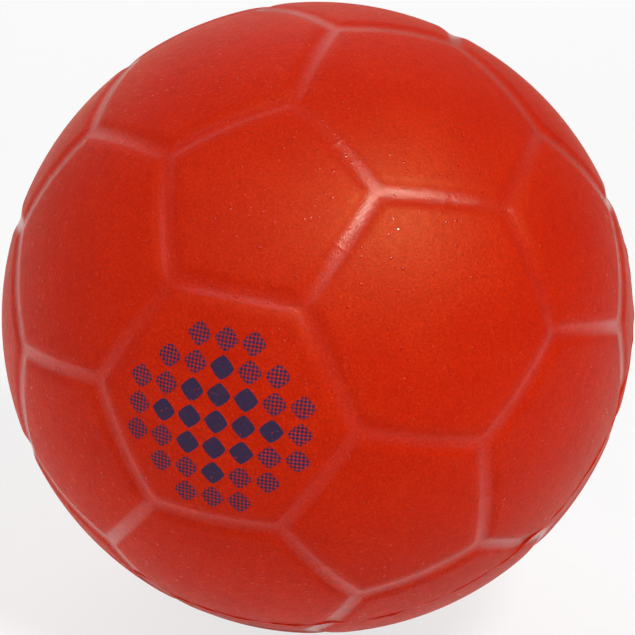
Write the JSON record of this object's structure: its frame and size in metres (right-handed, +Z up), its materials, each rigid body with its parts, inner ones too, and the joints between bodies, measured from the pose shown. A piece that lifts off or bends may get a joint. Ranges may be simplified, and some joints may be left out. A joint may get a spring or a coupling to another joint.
{
  "type": "handball",
  "caption": "Soft air-filled handball: a moulded, grooved foam cover over a rubber bladder, with a needle valve whose core draws out.",
  "frame": {"origin": "centre of the ball", "axes": "+Z up, -Y out of the middle of the front six-sided panel, +Y out through the valve in the panel opposite"},
  "size_m": [0.1498, 0.1498, 0.15],
  "materials": {
    "foam": "semi-matte moulded foam skin",
    "bladder_rubber": "matte",
    "housing_rubber": "satin",
    "core_rubber": "satin"
  },
  "bodies": {
    "ball": {"foam_cover": "foam", "bladder": "bladder_rubber", "valve_housing": "housing_rubber"},
    "core": {"valve_core": "core_rubber"}
  },
  "joints": [
    {"name": "core_draw", "type": "slide", "parent": "ball", "child": "core", "axis": [0, 1, 0], "range_m": [0, 0.016]}
  ]
}
